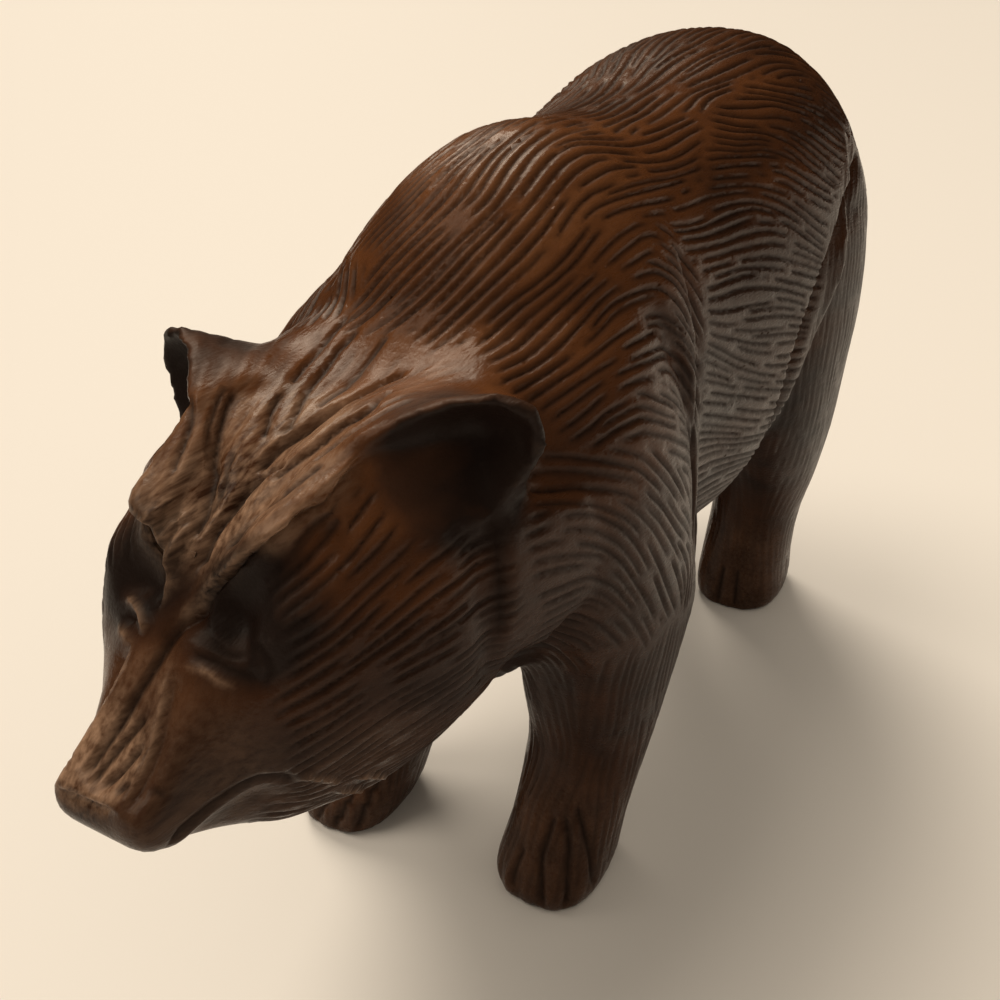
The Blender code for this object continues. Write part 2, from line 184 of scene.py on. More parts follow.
# Coats of fur: name, whether the other side has it too, distance between strokes, their depth, their
# shortest and longest length, and lines that the strokes follow from head to tail or down.
COATS = (
    ("back", False, 2.6, 0.60, 8, 110, (
        ((-25, -55, 155), (-23, -47, 161), (-14, -42, 173), (-8, -28, 182), (-6, -14, 185),
         (-9, 0, 183)),
        ((-8, -63, 156), (0, -55, 165), (7, -42, 175), (8, -24, 183), (7, -9, 185), (4, 7, 184)),
        ((9, -64, 155), (14, -52, 164), (19, -40, 171), (20, -26, 178), (20, -13, 179),
         (22, 5, 177)),
        ((-20, -30, 176), (-21, -10, 179), (-24, 10, 177)),
        ((14, -18, 182), (17, -5, 181), (18, 5, 179.5), (20, 20, 179), (23, 38, 181)),
        ((22, -26, 174), (24, -10, 175.5), (24, 0, 175), (25, 11, 174), (27, 28, 174)),
    )),
    ("rump", True, 2.9, 0.65, 8, 110, (
        ((14, 6, 182), (12, 21, 183), (13, 35, 184), (16, 55, 187.5), (22, 80, 191), (30, 105, 190)),
        ((5, 7, 184), (3, 25, 184), (4, 38, 186), (6, 60, 190), (9, 80, 194), (12, 105, 197)),
        ((20, 40, 182), (19, 52, 186), (22, 66, 188), (26, 88, 190)),
        ((0, 105, 198), (0, 128, 191), (0, 142, 175), (0, 149, 145), (0, 146, 118)),
        ((14, 108, 197), (20, 128, 189), (22, 141, 173), (22, 147, 148), (20, 144, 120)),
        ((30, 105, 190), (37, 122, 180), (40, 134, 162), (38, 139, 140), (34, 138, 115)),
    )),
    ("side", True, 2.5, 0.65, 8, 90, (
        ((22, 61, 187), (27, 69, 186), (31, 78, 184), (36, 98, 180), (41, 115, 172)),
        ((22, 45, 183), (26, 50, 182), (29, 58, 181), (32, 68, 181), (37, 80, 177), (41, 92, 170)),
        ((25, 34, 178), (30, 43, 176), (33, 56, 176), (37, 66, 173), (41, 76, 167)),
        ((29, 25, 171), (34, 40, 170), (39, 59, 167), (43, 72, 161)),
        ((32, 4, 163), (34, 20, 162), (38, 40, 160), (42, 57, 155), (45, 69, 150)),
        ((35, 10, 156), (38, 28, 155), (41, 45, 152), (44, 62, 146)),
        ((38, 13, 147), (40, 28, 146), (42, 40, 143), (45, 57, 138), (46, 70, 134)),
        ((38, 11, 144), (41, 28, 140), (43, 43, 136), (45, 62, 130)),
        ((39, 12, 139), (41, 26, 136), (44, 46, 129), (46, 64, 122)),
        ((40, 7, 133), (41, 23, 126), (43, 40, 120), (46, 67, 111)),
        ((40, 5, 127), (41, 24, 119), (43, 40, 114), (44, 51, 111)),
        ((40, 6, 121), (42, 30, 112), (43, 45, 106)),
        ((40, 10, 105), (41, 32, 98), (41, 46, 95)),
        ((38, 15, 88), (38, 34, 82), (38, 46, 79)),
    )),
    ("shoulder", True, 2.6, 0.65, 7, 80, (
        ((19, -61, 155), (21, -54, 158), (24, -47, 161), (26, -40, 164), (27, -30, 168)),
        ((22, -64, 152), (24, -55, 155), (28, -43, 159.5), (30, -28, 163), (31, -18, 165)),
        ((28, -65, 149), (30, -57, 151), (31, -47, 154), (32, -34, 157), (34, -20, 157)),
        ((34, -50, 151), (35, -43, 152), (36, -34, 151), (37, -22, 149)),
        ((34, -61, 145), (37, -53, 147), (39, -42, 147), (40, -28, 145), (39, -16, 141)),
        ((36, -62, 140), (39, -54, 143), (41, -41, 141), (43, -33, 135), (43, -23, 128),
         (41, -8, 118)),
        ((34, -18, 160), (36, -10, 156), (37, -6, 152), (38, -2, 146)),
        ((37, -15, 144), (39, -9, 140), (39, -4, 134)),
        ((40, -9, 132), (41, -5, 126), (41, -2, 118)),
    )),
    ("arm", True, 2.7, 0.58, 7, 80, (
        ((33, -77, 133), (35, -73, 134), (37, -68, 133), (41, -60, 131), (44, -52, 128)),
        ((45, -45, 125), (47, -38, 118), (47, -30, 108), (46, -20, 99), (45, -11, 91)),
        ((34, -77, 129), (37, -72, 129), (41, -64, 126), (45, -55, 119), (47, -46, 109), (47, -36, 98),
         (47, -25, 87)),
        ((35, -77, 125), (38, -71, 123), (43, -62, 119), (46, -52, 111), (47, -42, 100),
         (47, -34, 89)),
        ((38, -71, 114), (42, -63, 112), (45, -55, 106), (46, -45, 94), (46, -35, 80)),
        ((36, -67, 105), (40, -62, 103), (42, -58, 98), (43, -52, 90), (44, -45, 80)),
        ((30, -66, 96), (34, -64, 97), (37, -61, 94), (38, -56, 87), (39, -50, 78)),
        ((41, -8, 110), (42, -6, 95), (42, -8, 80)),
    )),
    ("leg", True, 2.8, 0.30, 8, 70, (
        ((20, -57, 84), (23, -51, 76), (25, -48, 69), (27, -46, 63), (28, -44, 56), (28, -42, 45)),
        ((15, -48, 76), (19, -46, 67), (22, -45, 62), (23, -43, 54), (24, -41, 43)),
        ((45, -45, 85), (43, -45, 79), (41, -44, 71), (39, -42, 62), (38, -41, 52), (37, -42, 40)),
        ((46, -32, 80), (45, -34, 70), (43, -35, 62), (42, -34, 51), (41, -32, 38), (41, -34, 20)),
        ((42, -53, 88), (39, -49, 78), (37, -45, 66), (35, -43, 55), (33, -42, 42)),
        ((36, -8, 80), (36, -4, 66), (34, -2, 52), (32, -6, 36), (30, -10, 20)),
        ((11, -20, 88), (11, -22, 60), (11, -26, 35), (11, -32, 15)),
        ((30, -42, 34), (28, -44, 29), (27, -47, 23), (26, -51, 14)),
        ((38, -40, 36), (39, -42, 26), (39, -45, 14)),
        ((20, -40, 36), (17, -43, 26), (16, -47, 14)),
    )),
    ("thigh", True, 3.0, 0.18, 10, 60, (
        ((44, 124, 165), (50, 108, 145), (50, 103, 120), (49, 104, 96), (45, 108, 75),
         (43, 114, 55)),
        ((45, 130, 150), (48, 122, 125), (47, 120, 95), (43, 124, 65), (41, 126, 40), (41, 126, 15)),
        ((48, 93, 116), (48, 93, 97), (45, 96, 80), (42, 102, 62)),
        ((26, 146, 118), (28, 144, 92), (27, 144, 62), (26, 146, 20)),
        ((12, 115, 80), (12, 118, 50), (12, 120, 15)),
        ((28, 88, 78), (28, 98, 60), (27, 106, 38), (26, 106, 14)),
    )),
    ("cheek", True, 2.1, 0.58, 6, 55, (
        ((19, -124, 130), (21, -120, 132), (22, -115, 135), (23, -110, 139), (25, -104, 143)),
        ((24, -114, 132), (25, -110, 134), (27, -104, 138.5)),
        ((20, -125, 124), (24, -119, 126), (26, -112, 130), (29, -105, 134)),
        ((16, -130, 115), (20, -126, 119), (25, -119, 123), (28, -111, 127), (31, -103, 132),
         (33, -96, 133)),
        ((18, -129, 114), (24, -122, 118), (28, -114, 122), (31, -107, 125), (34, -101, 126),
         (37, -92, 126)),
        ((26, -121, 114), (30, -112, 119), (34, -103, 123), (37, -93, 123)),
        ((11, -139, 108), (17, -130, 113), (25, -120, 117), (31, -109, 119), (35, -101, 119),
         (38, -90, 117)),
        ((20, -126, 100), (26, -117, 104), (31, -109, 108), (35, -100, 110), (37, -88, 109)),
        ((15, -125, 92), (19, -115, 88), (23, -105, 88), (27, -92, 88), (30, -80, 88)),
        ((0, -130, 86), (0, -115, 80), (0, -95, 76), (0, -75, 76)),
    )),
    ("crown", True, 3.0, 0.22, 14, 80, (
        ((7, -124, 135), (12, -119, 141), (14.5, -112, 145.5), (17, -105, 149.5), (20, -98, 153),
         (25, -92, 155), (31, -86, 155)),
        ((3, -122, 135), (7, -115, 140.5), (9, -107, 144.5), (12, -98, 149), (17, -89, 152),
         (24, -81, 152.5)),
        ((0, -124, 131), (0, -117, 137), (0, -108, 142), (0, -100, 145), (1, -90, 148),
         (3, -80, 149.5), (4, -70, 151)),
        ((9, -90, 150), (13, -80, 152), (18, -72, 153)),
        ((30, -84, 151), (34, -76, 148), (38, -68, 145)),
        ((38, -80, 141), (38, -75, 138), (38, -70, 136)),
    )),
    ("belly", True, 3.2, 0.35, 10, 70, (
        ((0, -60, 72), (0, -20, 67), (0, 30, 66), (0, 80, 72), (0, 110, 88)),
        ((24, 20, 68), (24, 45, 68), (20, 80, 72)),
    )),
)

# Wood laid on over the solid, on both sides, before it is carved: each piece is the skin that wraps its
# balls, each the x, y and z of a centre and a radius.
EAR = (
    (39, -84.5, 153.5, 1.3),
    (40.5, -84, 148, 1.5),
    (34, -86.5, 154.9, 1.3),
    (28, -90, 154.3, 1.3),
    (22.5, -95.5, 152.5, 1.3),
    (17, -101, 149.2, 1.8),
    (31, -93, 132.5, 2.0),
    (26, -68, 144, 3.0),
    (27, -76, 131, 4.0),
    (14, -84, 145, 4.0),
)
SHOULDER_FRONT = (
    (34.5, -86, 134, 2),
    (36.0, -87, 131, 2),
    (36.6, -88, 125, 2),
    (36.8, -88.5, 119, 2),
    (36.3, -88, 113, 2),
    (34.5, -86.5, 107, 2),
    (40, -66, 128, 2),
    (41.5, -62, 118, 2),
    (40, -64, 108, 2),
    (35, -72, 101, 2),
    (20, -75, 120, 4),
)

# The bowl cut into each ear, given as the pieces above are.
EAR_BOWL = (
    (24, -114, 143, 4.0),
    (25, -108, 150, 4.0),
    (32, -103, 154, 5.0),
    (43, -94, 150, 5.0),
    (40, -97, 140, 4.0),
    (20.5, -102.5, 148.3, 2.0),
    (24.5, -97.7, 151.4, 2.2),
    (29.5, -92.2, 152.9, 2.2),
    (34.5, -88.6, 153.3, 2.0),
    (38.2, -86.5, 150.3, 2.1),
    (38.6, -87, 146.5, 2.1),
    (31, -88.5, 148, 5.0),
    (35, -91, 139, 3.0),
)

# Lines worked into the skin before the fur: shape, width, depth, whether it is on both sides, and the
# points that it runs through. A depth below zero raises the wood.
FORMS = (
    # Hollows of the eye sockets under the brow.
    ("hollow", 8, 2.8, False, ((6, -128, 128), (11, -126.5, 131.5), (16, -124, 135), (19, -118, 138),
     (21, -111, 141))),
    ("hollow", 8, 2.4, False, ((-7, -128, 128), (-11, -127, 131), (-15, -125, 134.5), (-19, -118, 138),
     (-21, -111, 141))),
    # Deep hollow over the left eye.
    ("hollow", 7, 2.4, False, ((8, -129, 126), (11, -128.5, 127.5), (14, -127, 129))),
    # Edge between the flank and the thigh, and hind edge of the shoulder.
    ("ledge", 9, 2.2, True, ((37, 55, 80), (41.4, 58, 89), (44.3, 60.5, 100.8), (45.3, 63, 109.4),
     (45.8, 65.7, 117.7), (46.4, 70.3, 125.3), (47, 78, 135), (47.3, 88, 144.3), (46.6, 98.4, 153.7),
     (45, 112, 159), (43, 124, 164))),
    ("ledge", 8, 1.3, True, ((40, -5, 98), (41, -4, 112), (41, -3, 124), (40, -3, 135),
     (38.4, -3.5, 145), (36, -4.5, 154), (33, -5, 161))),
    # Long hollow on each side of the middle of the forehead.
    ("hollow", 4, 1.2, True, ((5.5, -122, 136), (7, -115, 140.5), (8, -107, 144), (10, -98, 147.5),
     (13, -88, 150))),
)

# Fine lines, worked in last, given as the forms are.
MARKS = (
    # Edge from the bridge of the nose over the left brow along the ear, and the same on the right.
    ("ledge", 11, 3.4, False, ((0.3, -129, 124), (0.8, -127, 127), (3.5, -124.4, 132),
     (7.6, -124.3, 135.5), (10.5, -123.8, 138.4), (14, -121.8, 141), (16.2, -118, 142),
     (17, -113, 144.5), (18.3, -107, 147), (19.5, -102, 148.6))),
    ("ledge", 8, 2.8, False, ((-20, -102, 151), (-17, -108, 147), (-16, -117, 142.5),
     (-15.3, -122.5, 139), (-12, -123.8, 139), (-8.4, -123, 138), (-6, -124, 135), (-4.5, -125, 131),
     (-4, -127, 126))),
    # Edges of the flat top of the snout.
    ("ledge", 6, 1.6, False, ((5.6, -149.3, 106.5), (5.8, -144, 110.5), (5, -140, 113.5),
     (3.4, -136, 117), (1.9, -132, 121))),
    ("ledge", 5, 1.4, False, ((-7, -131, 121.5), (-7.4, -136, 117), (-8.4, -142, 111.5),
     (-9, -149.3, 105.5))),
    ("ledge", 5, 1.4, False, ((-9, -149.5, 105.5), (-4, -149.6, 106), (0.4, -149.5, 106.3),
     (5.6, -149.3, 106.5))),
    # Hollow between the cheek and the shoulder.
    ("cut", 3.0, 1.0, True, ((35, -89, 137), (36, -90, 131), (37, -90.5, 125), (37.5, -91, 118),
     (37, -90.5, 111))),
    # Mouth.
    ("cut", 1.8, 1.1, True, ((9.4, -145.3, 97.5), (10.6, -142.9, 99.8), (12.1, -138.9, 101.1),
     (14.2, -135.1, 102.6), (16.4, -131.6, 103.4), (18.5, -128.3, 102), (18.8, -126, 98.8))),
    # Long grooves on the snout.
    ("cut", 1.2, 1.2, False, ((3, -124.5, 131), (1.8, -125.6, 128.4), (0.5, -128, 125),
     (-0.6, -130, 122.3), (-1.8, -135.8, 117.2), (-2.4, -140, 113.4), (-3.3, -143.9, 110.3),
     (-3.8, -147, 108))),
    ("cut", 1.1, 0.9, False, ((1.1, -137.4, 114.8), (-1, -142, 110.6), (-1.9, -145.6, 108.4),
     (-1.8, -147.7, 107.4))),
    ("cut", 1.1, 0.9, False, ((3.3, -140.9, 112.5), (1.4, -144.6, 109), (-0.3, -147.4, 107))),
    ("cut", 1.0, 0.7, False, ((4.6, -145.2, 109.4), (2.9, -147.5, 107.3))),
    # Nostrils.
    ("cut", 1.2, 0.8, False, ((7, -145.1, 109.4), (8.5, -145, 109), (9.4, -144.5, 108.4),
     (10.1, -143.4, 107.4))),
    ("cut", 1.2, 0.8, False, ((-10.4, -145, 108.5), (-12, -144.5, 107.5), (-13, -143.5, 106.5))),
    # Left eye: slit, lower lid, crease above, and creases at its outer corner.
    ("cut", 1.1, 0.5, False, ((5, -131, 123.6), (8, -131, 124), (11, -130.5, 123.5), (14, -129.7, 122),
     (16, -128.7, 120.6))),
    ("cut", 1.2, -0.2, False, ((5.1, -131.9, 122.2), (8.7, -132, 122.3), (11.2, -131.8, 121),
     (14, -130.5, 119.8))),
    ("cut", 1.0, 0.4, False, ((7, -130, 125.8), (9.6, -129.8, 126.4), (12.6, -128.8, 126.4),
     (15, -127.5, 125.8), (17, -127, 124), (17.7, -127, 122), (16.7, -128.5, 119.3))),
    # Right eye: raised upper lid, hollow under it, and lower lid.
    ("cut", 1.4, -1.3, False, ((-13, -126.7, 125.6), (-10.5, -127.2, 125.8), (-7.7, -128.2, 125.4),
     (-5.7, -129.5, 124), (-5.4, -130.1, 122.6))),
    ("hollow", 2.4, 1.8, False, ((-11, -128, 123.4), (-8.4, -129, 123.4))),
    ("cut", 1.6, -0.6, False, ((-13.2, -128.5, 121.6), (-9.2, -130.4, 121.2), (-6.4, -131, 121.2))),
    # Grooves of the forehead and the neck, from the right to the left.
    ("cut", 1.5, 1.6, False, ((-14.3, -93.8, 150.4), (-13.1, -97.2, 149.1), (-10.8, -102.2, 146.8),
     (-8.4, -107, 144), (-6.8, -110, 142), (-5.2, -112.6, 139.9), (-3.9, -115.3, 137.8),
     (-3.3, -119, 135))),
    ("cut", 1.0, 0.8, False, ((-16, -95, 150.5), (-13.9, -99.8, 149.3), (-11.9, -103.8, 147.1),
     (-9.9, -106.5, 145.4), (-8.4, -108.2, 143.6))),
    ("cut", 1.0, 0.7, False, ((-18, -100, 149.5), (-15, -105, 147.5), (-12.5, -110, 144.5),
     (-11, -114, 142.5))),
    ("cut", 1.0, 0.8, False, ((-13, -62, 155), (-12.5, -70.8, 152), (-10.7, -79.3, 150.5),
     (-8.3, -86.1, 149.9))),
    ("cut", 1.0, 0.8, False, ((-7.7, -89.7, 149.3), (-6.9, -93, 148.2), (-5, -97.1, 146.4),
     (-3.8, -100.3, 145.1))),
    ("cut", 1.0, 0.6, False, ((-5.5, -104, 143.8), (-4.3, -109, 141), (-2.8, -115, 137.5))),
    ("cut", 1.1, 0.9, False, ((-8.1, -65.3, 154.1), (-8.8, -71.9, 151.4), (-6.4, -80.5, 149.7),
     (-4, -88, 148.9), (-1, -96.1, 146.9), (-1.5, -99, 146.1))),
    ("cut", 1.0, 0.7, False, ((-1, -66, 154), (-1, -74, 151), (0, -82, 149.8), (0, -90, 148.5))),
    ("cut", 1.5, 1.8, False, ((8, -74, 150.8), (6, -78, 149.7), (4.8, -85.1, 149.2), (3, -89.4, 147.5),
     (1.8, -95.7, 146.4), (0.4, -100.6, 145.3), (-0.1, -104.1, 143.8), (-0.5, -106.3, 142.5))),
    ("cut", 1.3, 1.5, False, ((4.3, -104, 144.6), (2.3, -106.2, 142.6), (0.7, -107.6, 141.6),
     (0, -109.8, 139.9), (-0.1, -113.6, 138), (-0.5, -117, 136.4), (0.2, -122, 132.5))),
    ("cut", 1.1, 1.0, False, ((10.3, -81.6, 150.4), (11.3, -89.6, 150.7), (9.3, -94.1, 149.2),
     (8.4, -98.5, 147.7), (7.1, -102.3, 146.2), (5.5, -105.7, 144.6), (4.3, -108.2, 143))),
    ("cut", 1.0, 0.8, False, ((19, -88, 153.5), (16, -95, 152), (13.5, -101, 149.5),
     (11, -106, 147))),
    ("cut", 1.0, 0.7, False, ((17, -82, 152.5), (14.5, -89, 151.5), (12, -96, 149.7),
     (9.5, -102, 147.5), (7.5, -108, 144.5))),
    ("cut", 1.0, 0.6, False, ((8, -112, 142.5), (6, -116, 139.5), (4, -120, 136.5))),
    ("cut", 1.0, 0.6, False, ((14, -106, 147.6), (12, -111, 145.2), (10, -116, 142))),
    # Between the toes of the left forefoot.
    ("cut", 1.4, 0.9, False, ((21, -49.3, 16.5), (20, -51.7, 10.8), (19.6, -53, 4))),
    ("cut", 1.5, 1.0, False, ((27.6, -45.3, 27), (26.9, -48.1, 20.6), (26.4, -50.2, 15.6),
     (27.5, -52.2, 10), (28.5, -52.6, 2))),
    ("cut", 1.5, 1.0, False, ((30, -44.7, 27.6), (32.1, -46.7, 21.5), (33, -47.7, 17.8),
     (33.5, -49.5, 11), (33.6, -49.8, 2))),
    ("cut", 1.4, 1.0, False, ((32.4, -42.9, 30.2), (35.8, -44.1, 21.5), (37.7, -43.8, 13.4),
     (38.3, -43.2, 5))),
    # Between the toes of the right forefoot and the hind feet.
    ("cut", 1.4, 1.0, False, ((-41.4, -57.7, 1), (-37.3, -56.6, 12), (-33.5, -52, 22))),
    ("cut", 1.4, 1.0, False, ((-34.9, -57.7, 1), (-30.8, -56.6, 12), (-27.5, -52, 22))),
    ("cut", 1.4, 1.0, False, ((-28.4, -55, 1), (-24.3, -53.9, 12), (-22, -50, 19))),
    ("cut", 1.3, 0.8, False, ((21.8, 104, 1), (21.8, 104, 9), (22.5, 107, 17))),
    ("cut", 1.3, 0.8, False, ((28.2, 104, 1), (28.2, 104, 9), (27.5, 107, 17))),
    ("cut", 1.3, 0.8, False, ((-21.8, 94.5, 1), (-21.8, 97, 9), (-22.5, 100, 17))),
    ("cut", 1.3, 0.8, False, ((-28.2, 94.5, 1), (-28.2, 97, 9), (-27.5, 100, 17))),
    # Tufts under the jaw.
    ("cut", 1.2, -0.9, False, ((20, -117.9, 91.8), (20.5, -114, 88), (19, -109, 84))),
    ("cut", 1.2, -0.9, False, ((22.5, -115, 94), (22.5, -110, 90), (21, -105, 86))),
    ("cut", 1.2, -0.7, False, ((20, -126, 101.9), (21, -121, 98), (21.5, -118, 94))),
    # Locks that end at the brow.
    ("cut", 1.3, -1.2, False, ((-6, -117, 139.2), (-6.2, -119, 138), (-7.1, -124, 135))),
    ("cut", 1.3, -1.2, False, ((-4.4, -117, 138), (-4.7, -121.7, 135.4), (-5, -125.5, 132))),
    ("cut", 1.3, -1.1, False, ((-9, -117, 140.5), (-9.6, -120, 139.5), (-10.2, -123.5, 137))),
    ("cut", 1.2, -1.0, False, ((16.4, -116, 143.5), (15, -121.2, 140.9))),
)

# Where the wood is left smooth, given as the spots of painted shade, warmer stain, and wear and sheen
# are.
SMOOTH_SPOTS = (
    ((0, -150, 108), 26, 7, 1, True),  # muzzle
    ((10, -130, 124), 9, 4, 1, True),  # eye
    ((31, -95, 146), 10, 3, 1, True),  # ear bowl
    ((31, -84, 112), 6, 4, 1, True),  # hollow of the neck
)


def linked(name, data):
    """An object that shows the data, linked into the scene."""
    made = bpy.data.objects.new(name, data)
    bpy.context.scene.collection.objects.link(made)
    return made


def apply_modifiers(piece):
    """Replaces the piece's mesh by what its modifiers make of it."""
    graph = bpy.context.evaluated_depsgraph_get()
    made = bpy.data.meshes.new_from_object(piece.evaluated_get(graph))
    piece.modifiers.clear()
    piece.data = made


def read(collection, name, width, kind=np.float32):
    """A property of every item of the collection, as rows of that width."""
    values = np.empty(len(collection) * width, kind)
    collection.foreach_get(name, values)
    return values.reshape(-1, width) if width > 1 else values


def get_points(piece):
    return read(piece.data.vertices, "co", 3).astype(float) / MM


def set_points(piece, points):
    piece.data.vertices.foreach_set("co", (points * MM).astype(np.float32).ravel())
    piece.data.update()


def get_normals(piece):
    return read(piece.data.vertices, "normal", 3).astype(float)


def even_out(points, edges, passes, swell=SWELL):
    """Smooths the points, and swells them again so that what they form doesn't shrink."""
    count = np.bincount(edges.ravel(), minlength=len(points))[:, None]
    for _ in range(passes):
        for share in (SHRINK, swell):
            total = np.stack(
                [
                    np.bincount(edges[:, 0], points[edges[:, 1], axis], len(points))
                    + np.bincount(edges[:, 1], points[edges[:, 0], axis], len(points))
                    for axis in range(3)
                ],
                axis=1,
            )
            points = points + share * (total / count - points)
    return points


def wrapped(name, balls, side):
    """The tightest solid without hollows round balls, side 1 on the left and -1 on the right."""
    turn = np.linspace(0, 2 * pi, BALL_ROUND, endpoint=False)
    lift = np.linspace(-pi / 2, pi / 2, BALL_UP)
    around, up = (grid.ravel() for grid in np.meshgrid(turn, lift))
    ball = np.stack([np.cos(up) * np.cos(around), np.cos(up) * np.sin(around), np.sin(up)], axis=1)
    mesh = bmesh.new()
    for x, y, z, radius in balls:
        for point in ball * radius + (side * x, y, z):
            mesh.verts.new(point * MM)
    hull = bmesh.ops.convex_hull(mesh, input=mesh.verts)
    inside = set(hull["geom_interior"] + hull["geom_unused"])
    bmesh.ops.delete(mesh, geom=list(inside), context="VERTS")
    bmesh.ops.recalc_face_normals(mesh, faces=mesh.faces)
    data = bpy.data.meshes.new(name)
    mesh.to_mesh(data)
    mesh.free()
    return linked(name, data)


def evened(bear, passes):
    """Gives the bear one skin of even cells, smoothed."""
    remesh = bear.modifiers.new("skin", "REMESH")
    remesh.mode = "VOXEL"
    remesh.voxel_size = SKIN * MM
    apply_modifiers(bear)
    edges = read(bear.data.edges, "vertices", 2, np.int32)
    set_points(bear, even_out(get_points(bear), edges, passes))


def even_skin():
    """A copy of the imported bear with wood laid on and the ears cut, in one even, smooth skin."""
    bear = linked("carved_bear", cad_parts["bear"].data.copy())
    for side in (1, -1):
        laid_on = [wrapped("laid on", balls, side) for balls in (EAR, SHOULDER_FRONT)]
        with bpy.context.temp_override(active_object=bear, selected_editable_objects=[bear, *laid_on]):
            bpy.ops.object.join()
    evened(bear, SKIN_PASSES)
    for side in (1, -1):
        bowl = wrapped("ear bowl", EAR_BOWL, side)
        cut = bear.modifiers.new("ear bowl", "BOOLEAN")
        cut.operation = "DIFFERENCE"
        cut.solver = "EXACT"
        cut.object = bowl
        apply_modifiers(bear)
        bpy.data.objects.remove(bowl)
    evened(bear, EDGE_PASSES)
    return bear


def finer(bear):
    """Splits every face of the bear in four, on a smooth surface."""
    split = bear.modifiers.new("finer", "SUBSURF")
    split.levels = split.render_levels = 1
    apply_modifiers(bear)


def unit(rows):
    return rows / np.maximum(np.linalg.norm(rows, axis=1), TINY)[:, None]


def smooth_step(values):
    values = np.clip(values, 0, 1)
    return values * values * (3 - 2 * values)


def guide_pieces():
    """Middles, directions and coat numbers of short pieces of all guide lines."""
    middles, ways, coats = [], [], []
    for number, (_, both, *_, lines) in enumerate(COATS):
        for line in lines:
            corners = np.array(line, float)
            for start, end in zip(corners[:-1], corners[1:]):
                count = max(1, round(np.linalg.norm(end - start) / GUIDE_STEP))
                for share in (np.arange(count) + 0.5) / count:
                    for side in (1, -1) if both else (1,):
                        mirror = (side, 1, 1)
                        middles.append((start + share * (end - start)) * mirror)
                        ways.append((end - start) * mirror)
                        coats.append(number)
    return np.array(middles), unit(np.array(ways)), np.array(coats)


def fur_field(points, normals):
    """The direction of the fur and the number of its coat at every point."""
    middles, ways, coats = guide_pieces()
    flow = np.empty_like(points)
    coat = np.empty(len(points), int)
    for first in range(0, len(points), BATCH):
        rows = slice(first, first + BATCH)
        apart = ((points[rows, None] - middles) ** 2).sum(2)
        nearest = coats[apart.argmin(1)]
        weight = (coats == nearest[:, None]) / (apart + GUIDE_EVEN) ** 2
        flow[rows] = weight @ ways
        coat[rows] = nearest
    waver = sum(strength * np.sin(points @ speed + start) for strength, speed, start in WAVES)
    flow -= normals * (flow * normals).sum(1)[:, None]
    flow = unit(flow)
    flow += np.cross(normals, flow) * waver[:, None]
    return unit(flow), coat


def touched(points, spots):
    """How much of what the spots stand for every point has, from 0 up to the amount of a spot."""
    made = np.zeros(len(points))
    for centre, reach, fade, amount, both in spots:
        for side in (1, -1) if both else (1,):
            apart = np.linalg.norm(points - np.array(centre) * (side, 1, 1), axis=1)
            made = np.maximum(made, amount * smooth_step((reach + fade - apart) / fade))
    return made


def on_skin(tree, path):
    """Points close together along the path, each moved to the nearest wood."""
    corners = np.array(path, float)
    made = []
    for start, end in zip(corners[:-1], corners[1:]):
        count = max(1, round(np.linalg.norm(end - start) / LINE_STEP))
        made += [start + (end - start) * step / count for step in range(count)]
    made.append(corners[-1])
    return np.array([tree.find_nearest(point)[0] for point in made])


def beside(points, line):
    """For every point: how far it is from the line, how far to the right of it, and how far along."""
    apart = np.full(len(points), np.inf)
    away, way = np.zeros_like(points), np.zeros_like(points)
    along = np.zeros(len(points))
    for number, (start, step) in enumerate(zip(line[:-1], np.diff(line, axis=0))):
        share = np.clip((points - start) @ step / max(step @ step, TINY), 0, 1)
        reach = points - start - share[:, None] * step
        gap = np.linalg.norm(reach, axis=1)
        nearer = gap < apart
        apart[nearer] = gap[nearer]
        away[nearer], way[nearer] = reach[nearer], step
        along[nearer] = number + share[nearer]
    return apart, away, way, along


def carve_line(points, normals, line, width, depth, shape, side, traces):
    """Works a line into the wood: a cut, a round hollow, or a ledge whose low side is on the right.

    Sunk cuts add painted shade to the traces; raised cuts and ledge crests add wear and painted
    highlight.
    """
    sunk, worn = traces
    near = np.flatnonzero(((points > line.min(0) - width) & (points < line.max(0) + width)).all(1))
    apart, away, way, along = beside(points[near], line)
    to_end = np.minimum(along, len(line) - 1 - along) * LINE_STEP
    share = np.clip(to_end / min(LINE_RISE * width, LINE_END) + LINE_START, 0, 1)
    fall = np.clip(1 - apart / width, 0, 1) * share
    if shape == "ledge":
        right = unit(np.cross(way, normals[near]))
        across = side * (away * right).sum(1)
        low = smooth_step(across / LEDGE_EDGE + 0.5)
        # The high side of a ledge gets wear and a painted highlight.
        worn[near] = np.maximum(worn[near], np.clip(1 - apart / CREST, 0, 1) * share * (1 - low))
        fall = fall**LEDGE_FALL * low
    elif shape == "hollow":
        fall = smooth_step(fall)
    elif depth > 0:
        # A sunk cut gets painted shade.
        sunk[near] = np.maximum(sunk[near], fall)
    else:
        # A raised line gets wear and painted sheen.
        worn[near] = np.maximum(worn[near], RAISED_WEAR_AND_SHEEN * fall)
    points[near] -= normals[near] * (depth * fall)[:, None]


def carve_lines(bear, table, normals):
    """Works the lines of the table into the bear, and returns how far points are sunk, for painted shade,
    and how far they get wear and painted highlight.
    """
    points = get_points(bear)
    tree = tree_of(bear, points)
    traces = np.zeros((2, len(points)))
    for shape, width, depth, both, path in table:
        for side in (1, -1) if both else (1,):
            line = on_skin(tree, np.array(path) * (side, 1, 1))
            carve_line(points, normals, line, width, depth, shape, side, traces)
    set_points(bear, points)
    return traces


def faces_of(bear):
    return read(bear.data.loops, "vertex_index", 1, np.int32).reshape(-1, 4)


def tree_of(bear, points):
    return BVHTree.FromPolygons(points.tolist(), faces_of(bear).tolist())


